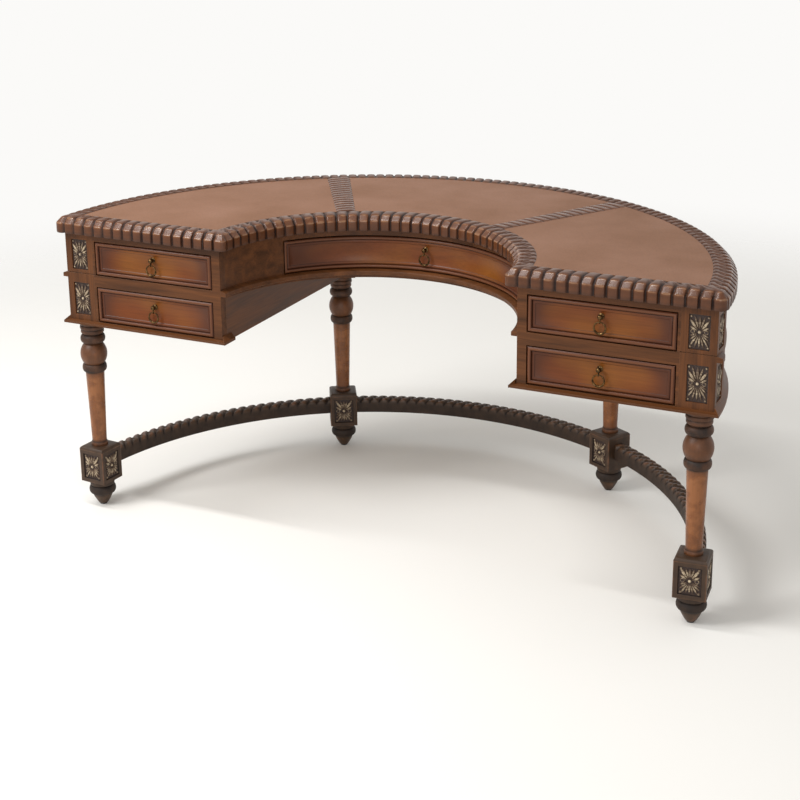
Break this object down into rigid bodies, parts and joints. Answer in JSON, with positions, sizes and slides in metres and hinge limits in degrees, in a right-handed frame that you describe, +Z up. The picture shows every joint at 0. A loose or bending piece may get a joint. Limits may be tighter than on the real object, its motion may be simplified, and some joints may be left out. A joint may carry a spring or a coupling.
{
  "type": "captains desk",
  "caption": "Half-round writing desk with a leather top and carved edge, drawers beside and over a curved knee recess, on turned legs joined by a low curved stretcher.",
  "frame": {"origin": "middle of the desk's footprint box, on the floor", "axes": "+X to the right of a person sitting at the desk, +Y to the rounded back, +Z up"},
  "size_m": [1.6698, 0.823, 0.77],
  "materials": {
    "case_wood": "satin cherry-brown lacquer",
    "drawer_front_wood": "satin lacquer over a warm brown veneer",
    "leg_wood": "satin lacquer, dark in the hollows",
    "dark_wood": "glossy dark brown lacquer, rubbed on the high points",
    "carving_wood": "dark stain with pale rubbed high points",
    "inner_wood": "plain unlacquered wood",
    "leather": "matte tan",
    "antique_brass": "antique satin",
    "bolt_steel": "plain",
    "glide": "matte"
  },
  "bodies": {
    "desk": {"apron_left": "case_wood", "apron_rails": "case_wood", "apron_right": "case_wood", "back_leg_left": "leg_wood", "back_leg_right": "leg_wood", "back_posts": "case_wood", "back_stretcher": "dark_wood", "back_wall": "case_wood", "block_carvings": "carving_wood", "bottom_board_left": "inner_wood", "bottom_board_right": "inner_wood", "bottom_moulding": "dark_wood", "dividers": "dark_wood", "drawer_runners": "inner_wood", "dust_panel": "inner_wood", "edge_moulding_inner": "dark_wood", "edge_moulding_left": "dark_wood", "edge_moulding_outer": "dark_wood", "edge_moulding_right": "dark_wood", "face_frame_left": "case_wood", "face_frame_right": "case_wood", "front_leg_left": "leg_wood", "front_leg_right": "leg_wood", "front_post_left": "case_wood", "front_post_right": "case_wood", "glides": "glide", "inner_wall_left": "case_wood", "inner_wall_right": "case_wood", "leather_centre": "leather", "leather_left": "leather", "leather_right": "leather", "leg_bolts": "bolt_steel", "mid_moulding": "dark_wood", "post_carvings": "carving_wood", "side_stretcher_left": "dark_wood", "side_stretcher_right": "dark_wood", "side_wall_left": "case_wood", "side_wall_right": "case_wood", "top_board": "case_wood"},
    "upper_left_drawer": {"upper_left_drawer_box": "inner_wood", "upper_left_drawer_front": "drawer_front_wood", "upper_left_pull_knob": "antique_brass"},
    "upper_left_ring": {"upper_left_pull_ring": "antique_brass"},
    "upper_right_drawer": {"upper_right_drawer_box": "inner_wood", "upper_right_drawer_front": "drawer_front_wood", "upper_right_pull_knob": "antique_brass"},
    "upper_right_ring": {"upper_right_pull_ring": "antique_brass"},
    "lower_left_drawer": {"lower_left_drawer_box": "inner_wood", "lower_left_drawer_front": "drawer_front_wood", "lower_left_pull_knob": "antique_brass"},
    "lower_left_ring": {"lower_left_pull_ring": "antique_brass"},
    "lower_right_drawer": {"lower_right_drawer_box": "inner_wood", "lower_right_drawer_front": "drawer_front_wood", "lower_right_pull_knob": "antique_brass"},
    "lower_right_ring": {"lower_right_pull_ring": "antique_brass"},
    "centre_drawer": {"centre_drawer_box": "inner_wood", "centre_drawer_front": "drawer_front_wood", "centre_pull_knob": "antique_brass"},
    "centre_ring": {"centre_pull_ring": "antique_brass"}
  },
  "joints": [
    {"name": "upper_left_slide", "type": "slide", "parent": "desk", "child": "upper_left_drawer", "axis": [0, -1, 0], "range_m": [0, 0.2]},
    {"name": "upper_left_ring_hinge", "type": "hinge", "parent": "upper_left_drawer", "child": "upper_left_ring", "pos_m": [-0.56355, -0.3995, 0.6715], "axis": [-1, 0, 0], "range_deg": [0, 85]},
    {"name": "upper_right_slide", "type": "slide", "parent": "desk", "child": "upper_right_drawer", "axis": [0, -1, 0], "range_m": [0, 0.2]},
    {"name": "upper_right_ring_hinge", "type": "hinge", "parent": "upper_right_drawer", "child": "upper_right_ring", "pos_m": [0.56355, -0.3995, 0.6715], "axis": [-1, 0, 0], "range_deg": [0, 85]},
    {"name": "lower_left_slide", "type": "slide", "parent": "desk", "child": "lower_left_drawer", "axis": [0, -1, 0], "range_m": [0, 0.2]},
    {"name": "lower_left_ring_hinge", "type": "hinge", "parent": "lower_left_drawer", "child": "lower_left_ring", "pos_m": [-0.56355, -0.3995, 0.55375], "axis": [-1, 0, 0], "range_deg": [0, 85]},
    {"name": "lower_right_slide", "type": "slide", "parent": "desk", "child": "lower_right_drawer", "axis": [0, -1, 0], "range_m": [0, 0.2]},
    {"name": "lower_right_ring_hinge", "type": "hinge", "parent": "lower_right_drawer", "child": "lower_right_ring", "pos_m": [0.56355, -0.3995, 0.55375], "axis": [-1, 0, 0], "range_deg": [0, 85]},
    {"name": "centre_slide", "type": "slide", "parent": "desk", "child": "centre_drawer", "axis": [0, -1, 0], "range_m": [0, 0.25]},
    {"name": "centre_ring_hinge", "type": "hinge", "parent": "centre_drawer", "child": "centre_ring", "pos_m": [0, -0.0535, 0.6715], "axis": [-1, 0, 0], "range_deg": [0, 85]}
  ]
}
